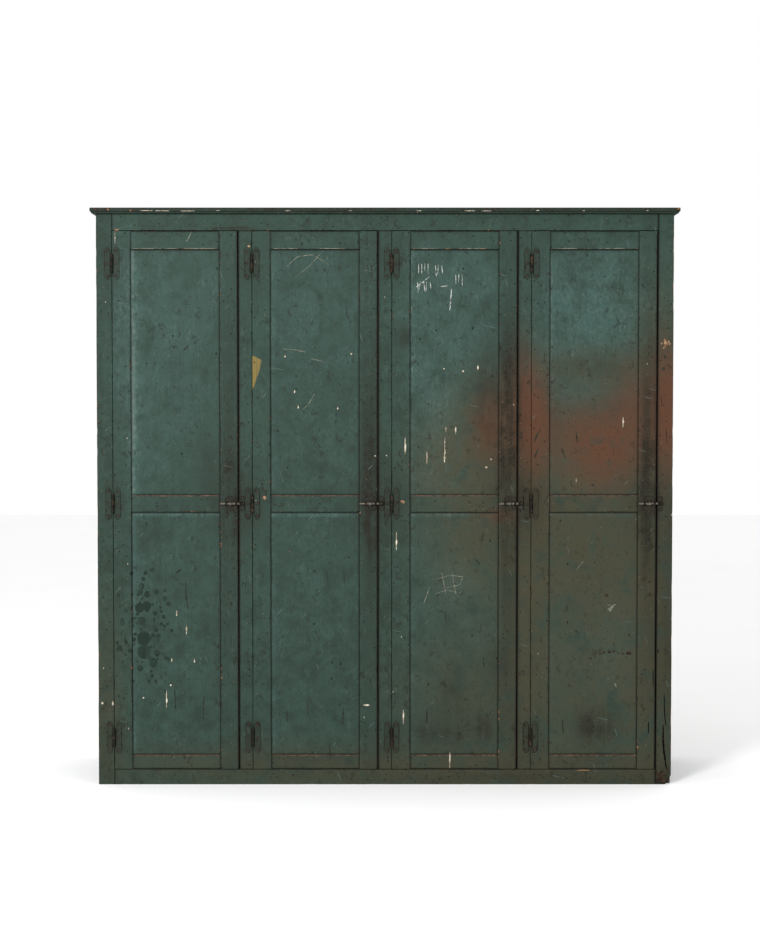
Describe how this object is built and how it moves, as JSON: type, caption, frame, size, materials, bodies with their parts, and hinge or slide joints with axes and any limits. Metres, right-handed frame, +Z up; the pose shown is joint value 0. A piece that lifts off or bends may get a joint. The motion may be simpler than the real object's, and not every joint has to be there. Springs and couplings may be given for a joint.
{
  "type": "locker cabinet",
  "caption": "Wide wooden locker cabinet: boarded carcass with a moulded cornice, tall panelled doors on H-hinges, a sliding barrel bolt on each, hat shelf and coat pegs in each bay.",
  "frame": {"origin": "middle of the carcass's footprint, on the floor (under the middle partition)", "axes": "+X to the right seen from the front, +Y towards the back, +Z up; the doors face -Y"},
  "size_m": [1.96, 0.5216, 1.93],
  "materials": {
    "painted_wood": "old worn blue-green oil paint, dull",
    "bare_wood": "bare aged softwood, dusty",
    "painted_iron": "painted over, rust at the edges",
    "rusted_iron": "rusted, worn bright in places"
  },
  "bodies": {
    "cabinet": {"left_side_boards": "painted_wood", "right_side_boards": "painted_wood", "partition_1": "bare_wood", "partition_2": "bare_wood", "partition_3": "bare_wood", "floor_boards": "bare_wood", "back_boards": "bare_wood", "cornice_boards": "painted_wood", "frame_left_stile": "painted_wood", "frame_right_stile": "painted_wood", "mullion_1": "painted_wood", "mullion_2": "painted_wood", "mullion_3": "painted_wood", "frame_top_rail": "painted_wood", "frame_bottom_rail": "painted_wood", "door_stops": "bare_wood", "hat_shelves": "bare_wood", "bay_cleats": "bare_wood", "peg_rails": "bare_wood", "coat_pegs": "bare_wood", "hinge_frame_leaves": "painted_iron", "hinge_pins": "rusted_iron", "frame_screws": "rusted_iron", "bolt_keepers": "rusted_iron"},
    "door_1": {"door_1_hinge_stile": "painted_wood", "door_1_lock_stile": "painted_wood", "door_1_rails": "painted_wood", "door_1_upper_panel": "painted_wood", "door_1_lower_panel": "painted_wood", "door_1_hinge_leaves": "painted_iron", "door_1_screws": "rusted_iron", "door_1_bolt_plate": "rusted_iron"},
    "bolt_1": {"door_1_bolt_rod": "rusted_iron"},
    "door_2": {"door_2_hinge_stile": "painted_wood", "door_2_lock_stile": "painted_wood", "door_2_rails": "painted_wood", "door_2_upper_panel": "painted_wood", "door_2_lower_panel": "painted_wood", "door_2_hinge_leaves": "painted_iron", "door_2_screws": "rusted_iron", "door_2_bolt_plate": "rusted_iron"},
    "bolt_2": {"door_2_bolt_rod": "rusted_iron"},
    "door_3": {"door_3_hinge_stile": "painted_wood", "door_3_lock_stile": "painted_wood", "door_3_rails": "painted_wood", "door_3_upper_panel": "painted_wood", "door_3_lower_panel": "painted_wood", "door_3_hinge_leaves": "painted_iron", "door_3_screws": "rusted_iron", "door_3_bolt_plate": "rusted_iron"},
    "bolt_3": {"door_3_bolt_rod": "rusted_iron"},
    "door_4": {"door_4_hinge_stile": "painted_wood", "door_4_lock_stile": "painted_wood", "door_4_rails": "painted_wood", "door_4_upper_panel": "painted_wood", "door_4_lower_panel": "painted_wood", "door_4_hinge_leaves": "painted_iron", "door_4_screws": "rusted_iron", "door_4_bolt_plate": "rusted_iron"},
    "bolt_4": {"door_4_bolt_rod": "rusted_iron"}
  },
  "joints": [
    {"name": "door_1_hinge", "type": "hinge", "parent": "cabinet", "child": "door_1", "pos_m": [-0.90925, -0.255, 0.946], "axis": [0, 0, -1], "range_deg": [0, 165]},
    {"name": "door_1_bolt_slide", "type": "slide", "parent": "door_1", "child": "bolt_1", "axis": [1, 0, 0], "range_m": [-0.0065, 0.012]},
    {"name": "door_2_hinge", "type": "hinge", "parent": "cabinet", "child": "door_2", "pos_m": [-0.44325, -0.255, 0.946], "axis": [0, 0, -1], "range_deg": [0, 165]},
    {"name": "door_2_bolt_slide", "type": "slide", "parent": "door_2", "child": "bolt_2", "axis": [1, 0, 0], "range_m": [-0.0065, 0.012]},
    {"name": "door_3_hinge", "type": "hinge", "parent": "cabinet", "child": "door_3", "pos_m": [0.02275, -0.255, 0.946], "axis": [0, 0, -1], "range_deg": [0, 165]},
    {"name": "door_3_bolt_slide", "type": "slide", "parent": "door_3", "child": "bolt_3", "axis": [1, 0, 0], "range_m": [-0.0065, 0.012]},
    {"name": "door_4_hinge", "type": "hinge", "parent": "cabinet", "child": "door_4", "pos_m": [0.48875, -0.255, 0.946], "axis": [0, 0, -1], "range_deg": [0, 165]},
    {"name": "door_4_bolt_slide", "type": "slide", "parent": "door_4", "child": "bolt_4", "axis": [1, 0, 0], "range_m": [-0.0065, 0.012]}
  ]
}
